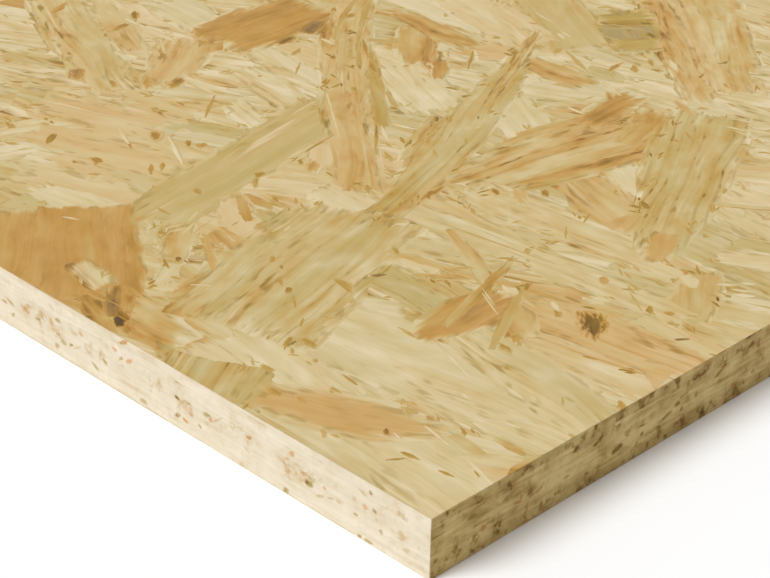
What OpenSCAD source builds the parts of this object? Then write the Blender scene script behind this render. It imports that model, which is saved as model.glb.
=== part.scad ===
// Oriented strand board (OSB) panel: one full sheet, lying flat.
// Millimetres. X runs along the face strands (the long way of the sheet), Y across them
// and Z up through the thickness. The origin is the middle of the underside.

/* [Sheet] */
// Length of the sheet, the way the face strands run
sheet_length = 2440; // [600:10:3050]
// Width of the sheet, across the face strands
sheet_width = 1220; // [300:10:1525]
// Thickness of the pressed board
sheet_thickness = 18; // [6:0.5:40]

/* [Sawn edges] */
// Depth of the easing on every arris, left by the saw and by handling
arris_ease = 0.5; // [0.1:0.1:2]

/* [Hidden] */

// A rectangle centred on the origin, with its four corners cut back by the easing
module eased_rectangle(width, height) {
  x = width / 2;
  y = height / 2;
  polygon([
    [x, y - arris_ease], [x - arris_ease, y],
    [arris_ease - x, y], [-x, y - arris_ease],
    [-x, arris_ease - y], [arris_ease - x, -y],
    [x - arris_ease, -y], [x, arris_ease - y],
  ]);
}

// A bar of the eased section, centred on the origin and lying along Z
module eased_bar(width, height, length) {
  linear_extrude(height = length, center = true) eased_rectangle(width, height);
}

// The sheet: three eased bars crossed at right angles share a board
// that has the easing along all twelve of its arrises
module osb_panel() {
  color("burlywood")
    translate([0, 0, sheet_thickness / 2])
      intersection() {
        // plan outline of the sheet
        eased_bar(sheet_length, sheet_width, sheet_thickness);
        // section along the sheet
        rotate([90, 0, 0]) eased_bar(sheet_length, sheet_thickness, sheet_width);
        // section across the sheet
        rotate([0, 90, 0]) eased_bar(sheet_thickness, sheet_width, sheet_length);
      }
}

osb_panel();
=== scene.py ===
"""Looks of an oriented strand board panel: pressed strands on both faces, sawn layers on the edges."""
import math
from dataclasses import dataclass

import bpy
import numpy as np
from mathutils import Matrix, Vector


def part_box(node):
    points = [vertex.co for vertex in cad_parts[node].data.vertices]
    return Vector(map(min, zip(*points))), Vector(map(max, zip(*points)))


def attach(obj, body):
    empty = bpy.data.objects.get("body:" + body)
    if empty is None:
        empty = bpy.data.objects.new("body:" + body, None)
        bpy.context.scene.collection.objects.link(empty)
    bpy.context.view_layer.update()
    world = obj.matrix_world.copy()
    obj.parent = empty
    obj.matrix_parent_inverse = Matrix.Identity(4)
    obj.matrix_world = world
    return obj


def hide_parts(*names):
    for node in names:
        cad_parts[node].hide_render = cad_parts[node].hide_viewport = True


MM = 0.001
NODE = "osb_panel"
BODY = "root"

# Depths in millimetres: relief of the pressed strands and of the sawn layers, the step from a strand
# to the one under it, the skin over the topmost, how far rims sink in and how far small bits stand up
FACE_RELIEF = 0.07
EDGE_RELIEF = 0.04
LEVEL_STEP = 0.002
SKIN = 0.015
SINK = 0.008
CHIP_LIFT = 0.008

# Number of strands over one that is pressed down by almost two thirds of the relief
STEP_FADE = 4.0

# How far the sawn edges stop short of the broad faces, and how deep the core lies, in millimetres
EDGE_MARGIN = 0.03
CORE_INSET = 0.26

# Grid on which the strands are laid, in millimetres
FACE_CELL = 1.6
EDGE_CELL = 0.4

# Reach of the finest strands round the photographed corner, in millimetres, and their lean in degrees
FINE_REACH = 340.0
CORNER_LEAN = 17.0

# Strands that the photograph shows, topmost first, in millimetres from the photographed corner:
# start and end (along the long edge, along the short edge), width, end widths as shares of it,
# tone from pale to dark, hue from grey over olive to pink, stripe, bow of the grain, and how soft
# the rim is where it isn't as usual
SEEN_STRANDS = (
    # amber leaf crossed by slivers
    ((73, 110), (60, 67), 3.2, (0.5, 0.4), 0.56, -0.4, 0.6, 0.0),
    ((98, 108), (64, 91), 5.0, (0.3, 0.8), 0.48, 0.0, 0.4, 0.4),
    ((60, 99), (43, 67), 2.8, (0.4, 0.6), 0.46, -0.4, 0.4, 0.0),
    ((61, 92), (60, 57), 16.0, (0.55, 0.25), 0.58, -0.1, 0.1, 0.0),
    ((54, 86), (42, 79), 9.0, (0.9, 0.6), 0.48, 0.0, 0.2, 0.0),
    # amber leaf beside the long edge
    ((69, 8), (26, 29), 15.0, (0.25, 0.1), 0.48, 0.35, 0.1, -2.0, 0.5),
    # long striped strand and the strips beside it
    ((177, 236), (117, 99), 14.5, (0.1, 0.6), 0.36, -0.35, 0.8, 3.0),
    ((154, 197), (139, 165), 4.0, (0.3, 0.3), 0.44, -0.3, 0.3, 0.0),
    ((154, 161), (138, 129), 5.0, (0.3, 0.3), 0.42, -0.3, 0.6, 0.0),
    # bowed tan strand and the grey strip along it
    ((240, 209), (219, 178), 2.0, (0.6, 0.4), 0.50, -0.5, 0.3, -1.0, 0.5),
    ((236, 213), (197, 169), 2.0, (0.6, 0.4), 0.50, -0.5, 0.3, -2.0, 0.5),
    ((222, 187), (184, 151), 4.0, (0.4, 0.4), 0.30, -0.3, 0.3, -1.5, 0.6),
    ((243, 213), (132, 106), 13.0, (0.8, 0.8), 0.42, 0.1, 0.5, -4.5, 0.4),
    ((205, 180), (158, 142), 7.0, (0.6, 0.3), 0.52, -0.5, 0.4, 0.0),
    # pointed strand with many rings, and its tan tip
    ((52, 152), (44, 137), 7.0, (0.9, 0.5), 0.52, 0.1, 0.1, 0.0),
    ((93, 226), (47, 140), 25.0, (0.8, 0.3), 0.36, -0.4, 1.0, 0.0),
    # curved amber strand with its brown heart
    ((119, 219), (116, 192), 8.0, (0.4, 0.4), 0.68, 0.1, 0.2, -1.5, 0.6),
    ((88, 194), (101, 144), 6.0, (0.4, 0.5), 0.56, 0.0, 0.5, 0.0, 0.6),
    ((106, 214), (99, 189), 8.0, (0.6, 0.4), 0.54, -0.1, 0.4, 1.0, 0.7),
    ((111, 209), (124, 160), 5.0, (0.4, 0.4), 0.50, 0.0, 0.5, -5.0, 0.6),
    ((97, 210), (112, 133), 28.0, (0.6, 0.35), 0.44, 0.05, 1.0, -4.0, 0.7),
    # grey knot
    ((162, 254), (152, 265), 1.2, (0.5, 0.5), 0.30, -1.0, 0.1, 0.0),
    ((166, 260), (157, 272), 8.0, (0.6, 0.6), 0.58, -0.9, 0.2, 0.0, 0.8),
    ((150, 247), (142, 256), 7.0, (0.7, 0.6), 0.46, -0.9, 0.1, 0.0, 0.8),
    ((167, 272), (143, 246), 17.0, (0.6, 0.5), 0.60, -1.12, 0.3, 0.0, 0.5),
    # amber block
    ((234, 186), (229, 176), 8.0, (0.5, 0.5), 0.78, 0.0, 0.2, 0.0),
    ((246, 194), (245, 148), 27.0, (0.9, 1.0), 0.66, 0.1, 0.1, 0.0, 0.6),
    ((252, 142), (232, 112), 15.0, (0.9, 0.5), 0.42, 0.3, 0.3, 0.0, 0.6),
    # broad olive strand full of rings
    ((121, 96), (99, 26), 40.0, (0.7, 0.95), 0.29, -0.4, 0.55, 0.0, 0.7),
    # amber patch that runs out over the long edge, and the knotty wood beside it
    ((155, 17), (140, 14), 7.0, (0.6, 0.8), 0.18, 0.0, 0.3, 0.0),
    ((137, 17), (125, 7), 5.0, (0.3, 0.4), 0.70, 0.1, 0.6, 0.0, 0.8),
    ((146, 12), (124, 9), 4.0, (0.3, 0.3), 0.68, 0.0, 0.6, 0.0, 0.8),
    ((138, 9), (118, 2), 6.0, (0.4, 0.3), 0.70, 0.0, 0.6, 0.0, 0.8),
    ((181, 41), (138, 7), 28.0, (0.9, 0.9), 0.61, 0.1, 0.1, 0.0, 0.2),
    ((192, 24), (156, -10), 24.0, (0.9, 1.0), 0.59, 0.1, 0.1, 0.0, 0.3),
    ((154, 9), (104, 9), 17.0, (0.9, 0.3), 0.52, 0.1, 0.9, 0.0, 0.8),
    # small framed chips between the amber patch and the broad strand
    ((156, 78), (140, 69), 3.6, (0.2, 0.7), 0.56, -0.1, 0.2, 0.0, 0.5),
    ((155, 74), (134, 63), 10.0, (0.6, 0.6), 0.20, 0.6, 0.1, 0.0),
    ((144, 59), (131, 55), 3.6, (0.4, 0.5), 0.50, 0.0, 0.3, 0.0, 0.5),
    ((144, 55), (122, 40), 3.0, (0.5, 0.9), 0.50, 0.1, 0.3, 0.0, 0.5),
    ((152, 54), (138, 38), 5.5, (0.7, 0.8), 0.46, 0.1, 0.4, 0.0, 0.5),
    ((137, 36), (129, 26), 5.0, (0.8, 0.8), 0.42, 0.1, 0.6, 0.0, 0.5),
    ((160, 51), (149, 38), 4.5, (0.6, 0.8), 0.30, -0.3, 0.5, 0.0),
    ((163, 121), (152, 109), 8.0, (0.7, 0.6), 0.22, 0.5, 0.1, 0.0),
    # smooth olive strand that runs under the bowed one
    ((181, 142), (161, 46), 21.0, (1.0, 0.9), 0.29, -0.5, 0.15, 0.0, 0.5),
    # tan strands above the knot
    ((174, 293), (103, 231), 11.0, (0.9, 0.4), 0.42, 0.2, 0.8, 0.0, 0.5),
    ((162, 296), (100, 240), 9.0, (0.9, 0.4), 0.36, 0.3, 0.7, 0.0, 0.5),
    ((160, 310), (98, 246), 17.0, (0.9, 0.6), 0.42, 0.0, 0.7, 0.0, 0.5),
    # amber and pale chips behind the bowed strand
    ((220, 212), (184, 208), 9.0, (0.5, 0.6), 0.54, 0.0, 0.5, 0.0),
    ((193, 206), (187, 198), 4.5, (0.5, 0.5), 0.05, -0.3, 0.0, 0.0),
    ((182, 193), (172, 181), 5.0, (0.7, 0.5), 0.62, 0.1, 0.1, 0.0),
    ((207, 207), (186, 186), 13.0, (0.8, 0.6), 0.55, 0.0, 0.4, 0.0),
    ((166, 214), (136, 213), 11.0, (0.5, 0.8), 0.50, 0.1, 0.5, 0.0),
    ((190, 179), (156, 164), 18.0, (0.8, 0.9), 0.10, 0.0, 0.3, 0.0),
    ((148, 187), (121, 171), 17.0, (0.9, 0.8), 0.12, -0.1, 0.2, 0.0),
    ((90, 178), (70, 167), 14.0, (0.8, 0.8), 0.07, -0.1, 0.1, 0.0),
    ((166, 206), (148, 200), 10.0, (0.8, 0.7), 0.12, 0.1, 0.2, 0.0),
    ((218, 237), (168, 226), 20.0, (0.9, 0.8), 0.16, 0.2, 0.2, 0.0),
    ((200, 262), (156, 236), 22.0, (0.9, 0.9), 0.32, -0.4, 0.3, 0.0),
    ((285, 157), (257, 154), 15.0, (0.6, 0.9), 0.10, -0.2, 0.2, 0.0),
    ((232, 154), (188, 147), 12.0, (0.7, 0.9), 0.12, -0.1, 0.4, 0.0),
    ((222, 140), (186, 134), 12.0, (0.7, 0.9), 0.10, 0.0, 0.5, 0.0),
    ((206, 119), (186, 113), 9.0, (0.6, 0.8), 0.08, 0.0, 0.4, 0.0),
    # striped olive flake at the long edge
    ((80, -5), (88, 10), 34.0, (0.9, 0.8), 0.34, -0.5, 1.0, 0.0, 0.5),
    # pale strands along the long edge and round the corner
    ((142, 99), (108, 95), 14.0, (0.6, 0.8), 0.13, 0.1, 0.1, 0.0),
    ((62, 71), (-6, 60), 17.0, (0.8, 0.9), 0.16, -0.3, 0.3, 0.0),
    ((98, 42), (-6, 56), 34.0, (0.8, 0.9), 0.11, -0.1, 0.2, 0.0, 0.6),
    ((100, 20), (-8, 10), 30.0, (0.9, 0.9), 0.15, 0.0, 0.25, 0.0, 0.6),
    ((112, 82), (30, 107), 3.5, (0.4, 0.4), 0.42, 0.0, 0.3, 0.0),
    ((120, 107), (16, 118), 12.0, (0.8, 0.6), 0.20, -0.1, 0.4, 0.0),
    # pinkish strands that reach the short edge
    ((53, 90), (-8, 99), 18.0, (0.4, 0.9), 0.37, 0.6, 0.4, 0.0, 0.8),
    ((48, 79), (-8, 85), 12.0, (0.5, 0.9), 0.24, 0.4, 0.4, 0.0, 0.8),
    ((31, 142), (17, 119), 11.0, (0.8, 0.6), 0.42, -0.2, 0.3, 0.0),
    ((110, 132), (30, 138), 16.0, (0.8, 0.7), 0.22, 0.0, 0.4, 0.0),
    ((96, 160), (58, 146), 16.0, (0.8, 0.7), 0.38, 0.1, 0.3, 0.0),
    # tan strands beyond the amber patch
    ((200, 37), (172, 43), 13.0, (0.6, 0.9), 0.10, 0.0, 0.1, 0.0),
    ((246, 78), (204, 90), 13.0, (0.6, 0.6), 0.29, 0.5, 0.1, 0.0, 0.9),
    ((238, 58), (178, 76), 16.0, (0.6, 0.6), 0.32, 0.5, 0.15, 0.0, 0.9),
    ((212, 41), (166, 55), 14.0, (0.6, 0.6), 0.27, 0.4, 0.1, 0.0, 0.9),
    ((316, 131), (238, 98), 19.0, (0.8, 0.7), 0.31, -0.2, 0.4, 0.0),
    ((303, 143), (258, 124), 9.0, (0.7, 0.6), 0.35, 0.0, 0.3, 0.0),
)

# Small bits that the photograph shows on top of the strands, in the same way:
# start, end, width, tone and hue. The palest are raised fibres, partly paler wood and partly a painted
# highlight, the darkest are bark and knots, and some olive ones along the rims of strands are painted
# shadow.
SEEN_CHIPS = (
    # round the crossed amber leaf
    ((68, 90), (58, 85), 0.7, 0.12, 0.1), ((66, 88), (54, 82), 0.7, 0.20, 0.0),
    ((64, 95), (58, 94), 2.0, 0.05, 0.2), ((38, 102), (29, 93), 7.0, 0.96, -0.2),
    ((45, 96), (42, 93), 2.6, 0.70, -0.7), ((49, 98), (45, 96), 1.6, 0.00, 0.0),
    ((44, 78), (42, 75), 2.2, 0.78, 0.0), ((43, 71), (39, 70), 2.0, 0.74, -0.7),
    ((35, 64), (33, 63), 1.6, 0.70, -0.5), ((3, 73), (1, 70), 1.8, 0.70, -0.5),
    ((57, 60), (37, 53), 0.7, 0.02, 0.0), ((34, 46), (30, 45), 0.8, 0.02, 0.0),
    ((11, 26), (-4, 33), 8.5, 0.14, 0.0),
    # by the leaf at the long edge
    ((30, 28), (19, 26), 1.0, 0.00, 0.0), ((13, 25), (0, 21), 1.3, 0.02, 0.0),
    ((33, 20), (28, 19), 0.8, 0.00, 0.0), ((35, 20), (33, 18), 1.4, 0.90, 0.0),
    ((26, 9), (22, 15), 1.5, 0.76, -0.9), ((25, 15), (20, 16), 1.6, 0.76, -0.9),
    ((14, 16), (8, 17), 1.3, 0.74, -0.9), ((9, 24), (4, 21), 1.3, 0.70, -0.8),
    ((80, 18), (75, 18), 1.4, 0.66, -0.5), ((69, 12), (65, 11), 1.8, 0.66, -0.6),
    ((61, 14), (57, 13), 2.0, 0.68, 0.0), ((46, 8), (43, 6), 1.2, 0.64, 0.2),
    # on and round the broad olive strand
    ((82, 35), (76, 34), 2.2, 0.72, -0.8), ((84, 33), (82, 29), 1.4, 0.74, -0.8),
    ((62, 30), (54, 29), 1.2, 0.62, -0.8), ((99, 64), (91, 62), 2.6, 0.68, -0.8),
    ((104, 51), (102, 48), 2.0, 0.80, -0.6), ((101, 49), (94, 44), 1.0, 0.66, -0.8),
    ((121, 60), (118, 57), 1.8, 0.74, -0.6), ((111, 53), (106, 50), 1.2, 0.66, -0.8),
    ((90, 43), (86, 38), 1.2, 0.66, -0.5), ((80, 41), (71, 40), 0.9, 0.02, 0.0),
    ((101, 89), (98, 87), 1.4, 0.70, -0.8), ((94, 81), (92, 74), 0.9, 0.62, -0.8),
    # knotty wood at the long edge and the framed chips
    ((124, 6), (120, 4), 2.2, 1.20, 0.0), ((150, 9), (122, 11), 1.0, 0.68, 0.0),
    ((136, 19), (128, 18), 1.2, 0.66, -0.2), ((139, 40), (136, 38), 1.4, 0.82, -0.3),
    ((168, 71), (164, 70), 2.8, 0.74, -0.7), ((167, 55), (159, 55), 1.4, 0.60, -0.6),
    ((145, 60), (131, 61), 1.0, 0.56, 0.0), ((160, 89), (156, 85), 1.6, 0.70, -0.6),
    ((163, 92), (160, 91), 3.0, 0.80, -0.3), ((139, 83), (136, 81), 1.2, 0.74, -0.6),
    ((181, 31), (175, 34), 1.2, 0.02, 0.2), ((141, 96), (139, 92), 2.0, 0.02, 0.0),
    # along the bowed and the long striped strands
    ((163, 143), (147, 127), 1.4, 0.72, -0.6), ((146, 130), (139, 127), 2.4, 0.64, -0.7),
    ((134, 110), (130, 107), 2.0, 0.74, -0.7), ((190, 147), (163, 127), 0.9, 0.04, 0.0),
    ((166, 128), (163, 112), 1.0, 0.60, -0.7), ((162, 108), (158, 106), 1.4, 0.78, -0.5),
    ((156, 110), (152, 104), 3.0, 0.66, -0.3), ((118, 128), (116, 114), 2.2, 0.78, 0.0),
    ((118, 128), (116, 121), 1.4, 0.66, 0.4), ((200, 176), (190, 170), 2.0, 0.72, -0.4),
    ((213, 186), (200, 176), 1.2, 0.66, -0.5), ((170, 217), (164, 207), 1.2, 0.72, -0.6),
    ((181, 207), (171, 194), 1.4, 0.70, -0.5), ((181, 208), (173, 201), 1.0, 0.05, 0.0),
    ((156, 197), (151, 186), 1.0, 0.62, -0.6), ((150, 186), (143, 173), 0.9, 0.64, -0.5),
    ((160, 161), (154, 159), 1.2, 0.00, 0.1), ((135, 155), (133, 153), 1.4, 0.78, -0.5),
    ((143, 147), (141, 144), 1.6, 0.60, -0.5), ((138, 143), (132, 139), 1.6, 0.56, -0.5),
    ((159, 146), (150, 149), 0.9, 0.02, 0.2), ((161, 143), (150, 136), 1.2, 0.02, 0.1),
    # right of the curved amber strand
    ((95, 147), (92, 145), 2.6, 1.00, -0.2), ((101, 141), (93, 135), 3.6, 0.64, 0.3),
    ((110, 139), (97, 140), 2.2, 0.02, 0.1), ((106, 136), (103, 135), 1.6, 0.72, -0.6),
    ((70, 162), (66, 160), 3.0, 0.94, -0.2), ((66, 153), (63, 144), 4.5, 0.50, 0.2),
    ((76, 146), (73, 139), 1.0, 0.66, -0.7), ((76, 135), (70, 128), 0.9, 0.62, -0.6),
    ((103, 123), (98, 120), 1.2, 0.64, -0.6), ((74, 119), (72, 113), 2.2, 0.60, -0.6),
    ((110, 108), (62, 115), 0.9, 0.52, -0.4), ((100, 114), (60, 118), 0.8, 0.04, 0.2),
    ((48, 119), (45, 116), 2.6, 0.60, 0.2), ((38, 118), (28, 112), 1.0, 0.64, -0.3),
    ((29, 116), (26, 113), 2.0, 0.78, -1.0), ((24, 116), (21, 117), 2.0, 0.74, -0.5),
    ((36, 139), (33, 138), 1.8, 0.74, -0.2), ((34, 137), (26, 133), 4.5, 0.08, 0.0),
    ((40, 90), (0, 96), 1.2, 0.56, 0.3), ((30, 82), (4, 88), 1.0, 0.54, 0.2),
    ((92, 210), (85, 206), 1.6, 0.58, -0.4), ((92, 203), (86, 202), 1.0, 0.60, 0.0),
    # round the grey knot
    ((165, 258), (155, 268), 1.1, 0.80, -0.9), ((166, 257), (163, 259), 1.6, 0.98, -0.8),
    ((165, 258), (149, 264), 0.9, 0.22, -0.9), ((159, 249), (149, 250), 0.9, 0.24, -0.9),
    ((149, 250), (145, 258), 0.9, 0.24, -0.9), ((157, 267), (154, 269), 1.8, 1.00, -0.6),
    ((168, 283), (165, 281), 3.2, 0.88, -0.6), ((149, 262), (145, 259), 2.2, 0.94, -0.5),
    ((135, 237), (131, 233), 2.6, 0.92, -0.4), ((136, 246), (130, 241), 1.8, 0.72, -0.7),
    ((131, 250), (121, 243), 3.0, 0.02, 0.0), ((136, 220), (122, 215), 2.4, 0.04, 0.0),
    ((128, 215), (123, 211), 1.8, 0.70, 0.1), ((160, 230), (140, 221), 2.0, 0.58, -0.6),
    ((140, 238), (138, 226), 2.6, 0.60, -0.3), ((162, 229), (160, 225), 2.4, 0.60, -0.6),
    ((110, 226), (96, 221), 2.4, 0.55, 0.3), ((110, 241), (103, 235), 4.0, 0.50, 0.0),
    ((162, 283), (150, 269), 1.2, 0.66, 0.1),
    ((157, 270), (154, 267), 2.0, 0.86, -0.8), ((134, 255), (131, 253), 2.0, 0.66, -0.6),
    # far left
    ((230, 170), (229, 163), 3.0, 0.93, 0.0), ((222, 165), (219, 160), 2.4, 0.72, -0.6),
    ((214, 158), (207, 149), 1.0, 0.62, -0.6), ((257, 151), (251, 145), 2.0, 0.70, -0.5),
    ((285, 145), (279, 141), 3.0, 0.90, -0.2), ((307, 132), (302, 121), 3.2, 0.66, -0.1),
    ((260, 101), (254, 94), 5.0, 0.70, 0.1), ((239, 112), (233, 107), 2.6, 0.68, 0.1),
    ((230, 119), (228, 113), 3.6, 0.76, -0.7), ((214, 120), (202, 105), 1.5, 0.68, -0.6),
    ((230, 120), (213, 120), 1.5, 0.02, 0.2), ((278, 137), (277, 129), 2.4, 0.68, -0.7),
    ((283, 138), (274, 138), 1.8, 0.00, 0.1), ((264, 138), (254, 138), 1.6, 0.02, 0.1),
    ((212, 145), (193, 147), 2.4, 0.00, 0.0), ((215, 137), (195, 138), 2.0, 0.00, 0.1),
    ((226, 64), (222, 58), 2.8, 0.82, -0.6), ((205, 62), (200, 61), 2.8, 0.84, 0.0),
    ((205, 88), (201, 84), 3.2, 0.80, -0.5), ((194, 91), (191, 89), 2.0, 0.76, -0.2),
    ((189, 93), (187, 92), 2.0, 0.74, -0.5), ((201, 89), (182, 79), 1.6, 0.00, 0.1),
    ((216, 81), (204, 76), 1.2, 0.02, 0.1), ((208, 78), (200, 74), 1.0, 0.66, -0.5),
    ((190, 73), (183, 67), 2.0, 0.72, -0.2), ((188, 76), (184, 72), 1.6, 0.70, -0.7),
    ((246, 102), (241, 100), 2.0, 0.74, -0.8), ((273, 106), (270, 105), 1.6, 0.74, -0.5),
)


@dataclass
class Face:
    """A flat side of the board: its middle, its axes along, across and out, and its half sizes."""
    name: str
    middle: np.ndarray
    along: np.ndarray
    across: np.ndarray
    out: np.ndarray
    half_along: float
    half_across: float
    corner: tuple | None

    def limits(self):
        """Both half sizes as one array."""
        return np.array([self.half_along, self.half_across])

    def place(self, points, depth):
        """Frame coordinates in metres of points along and across the face at a depth, in millimetres."""
        plan = np.outer(points[:, 0], self.along) + np.outer(points[:, 1], self.across)
        return (self.middle + plan - np.outer(depth, self.out)) * MM

    def is_fine(self, spot):
        """True near the photographed corner, where the strands get their full detail."""
        if self.corner is None:
            return False
        return math.hypot(spot[0] - self.corner[0], spot[1] - self.corner[1]) < FINE_REACH


def swelling(share, widths):
    """Width at a share of the length: it swells smoothly from the start over the middle to the end."""
    start, middle, end = widths
    straight = start + (end - start) * share
    return straight + (middle - (start + end) / 2) * 4 * share * (1 - share)


# How a rim draws the top of a strand in: how much further along the grain than across it, the most it
# takes of the length and of the half width, and the narrowest half width that counts, in millimetres
RIM_STRETCH = 3
RIM_LIMIT_ALONG = 0.6
RIM_LIMIT_ACROSS = 0.7
NARROWEST_HALF = 0.1


@dataclass
class Strand:
    """One strand on a face, in millimetres: u runs along its grain, v across it.

    Its look is its tone, hue and stripe. Over its rim it frays into the look beside it.
    """
    middle: tuple
    angle: float
    length: float
    widths: tuple
    bow: float
    outline: np.ndarray
    look: tuple
    seed: float
    rim: float
    level: int = 0
    depth: float = 0.0

    def axes(self):
        """Direction of the grain in the face's plan."""
        return math.cos(self.angle), math.sin(self.angle)

    def sag(self, u):
        """How far the bowed grain is off the straight line at a place along it."""
        return self.bow * (1 - (2 * u / self.length) ** 2)

    def half_width(self, u):
        """Half the strand's width at a place along it."""
        return swelling(np.clip(u / self.length + 0.5, 0, 1), self.widths) / 2

    def to_plan(self, u, v):
        """Places along and across the grain as points in the face's plan."""
        c, s = self.axes()
        bent = v + self.sag(u)
        return np.stack([self.middle[0] + u * c - bent * s, self.middle[1] + u * s + bent * c], 1)

    def to_grain(self, along, across):
        """Points in the face's plan as places along and across the straightened grain."""
        c, s = self.axes()
        x = along - self.middle[0]
        y = across - self.middle[1]
        u = x * c + y * s
        return u, y * c - x * s - self.sag(u)

    def drawn_in(self, points):
        """An outline in the plan, drawn in by the rim towards its middle."""
        u, v = self.to_grain(points[:, 0], points[:, 1])
        middle_u = (u.min() + u.max()) / 2
        middle_v = (v.min() + v.max()) / 2
        rim_share = self.rim / np.maximum(self.half_width(u), NARROWEST_HALF)
        keep_v = 1 - np.minimum(rim_share, RIM_LIMIT_ACROSS)
        keep_u = 1 - min(RIM_STRETCH * self.rim / self.length, RIM_LIMIT_ALONG)
        return self.to_plan(middle_u + (u - middle_u) * keep_u, middle_v + (v - middle_v) * keep_v)


# Waves in the sides of a strand: the size of each as a share of the half width, and its range of rates
SIDE_WAVES = ((0.08, (3, 8)), (0.04, (14, 30)))
WAVE_STARTS = (0, 6)

# Longest tear of an end: a share of the strand's length, and millimetres added to it
TEAR_SHARE = 0.025
TEAR_EXTRA = 0.6


def strand_outline(rng, length, widths, ragged, stations, teeth):
    """Outline of a straight strand, anticlockwise: widths at start, middle and end, and torn ends."""
    t = np.linspace(0, 1, stations)
    half = swelling(t, widths) / 2
    u = (t - 0.5) * length
    sides = []
    for side in (-1, 1):
        uneven = 1
        for size, rates in SIDE_WAVES:
            uneven = uneven + size * np.sin(rng.uniform(*rates) * t + rng.uniform(*WAVE_STARTS))
        sides.append(np.stack([u, side * half * uneven], 1))
    low, high = sides
    share = np.linspace(0, 1, teeth + 2)[1:-1]
    tear = min(ragged * max(widths), TEAR_SHARE * length + TEAR_EXTRA)
    end_v = low[-1, 1] + (high[-1, 1] - low[-1, 1]) * share
    end = np.stack([length / 2 - rng.uniform(0, 1, teeth) * tear, end_v], 1)
    start_v = high[0, 1] + (low[0, 1] - high[0, 1]) * share
    start = np.stack([-length / 2 + rng.uniform(0, 1, teeth) * tear, start_v], 1)
    return np.concatenate([low, end, high[::-1], start])


# How far the outline of a blot reaches, as a share of its usual reach
BLOT_REACHES = (0.65, 1.15)


def blot_outline(rng, length, width, points):
    """Outline of an uneven blot, anticlockwise."""
    turn = np.linspace(0, 2 * math.pi, points, endpoint=False)
    reach = rng.uniform(*BLOT_REACHES, points) / 2
    return np.stack([length * reach * np.cos(turn), width * reach * np.sin(turn)], 1)


def clip_outline(points, limits):
    """The part of an outline that lies on the face, cut at one border after the other."""
    for axis, sign in ((0, 1), (0, -1), (1, 1), (1, -1)):
        if not len(points):
            return points
        over = sign * points[:, axis] - limits[axis]
        if (over <= 0).all():
            continue
        kept = []
        for i in range(len(points)):
            j = (i + 1) % len(points)
            if over[i] <= 0:
                kept.append(points[i])
            if (over[i] <= 0) != (over[j] <= 0):
                share = over[i] / (over[i] - over[j])
                kept.append(points[i] + share * (points[j] - points[i]))
        points = np.array(kept).reshape(-1, 2)
    return points


# Lengths too small to matter, in millimetres
TINY = 1e-9
BORDER_SLACK = 1e-6


def moved_out(points, by):
    """An anticlockwise outline with each point moved out square to the line through its neighbours."""
    along = np.roll(points, -1, 0) - np.roll(points, 1, 0)
    along = along / (np.linalg.norm(along, axis=1, keepdims=True) + TINY)
    return points + by * np.stack([along[:, 1], -along[:, 0]], 1)


def crosses_itself(points):
    """True if two sides of an outline cut each other."""
    way = np.roll(points, -1, 0) - points
    apart = points[None, :, :] - points[:, None, :]
    side = way[:, None, 0] * apart[:, :, 1] - way[:, None, 1] * apart[:, :, 0]
    cut = side * np.roll(side, -1, 1) < 0
    return bool((cut & cut.T).any())


# Margins in cells: of the grid round its face, of what a strand touches, and of its rim
GRID_MARGIN = 1.5
TOUCH_MARGIN = 1.2
RIM_MARGIN = 0.6

# What a strand covers and touches, as shares of its length and half width
COVER_ALONG = 0.475
COVER_ACROSS = 0.9
TOUCH_ACROSS = 1.2

# Strands tried between two searches for bare cells
BATCH = 64


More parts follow.
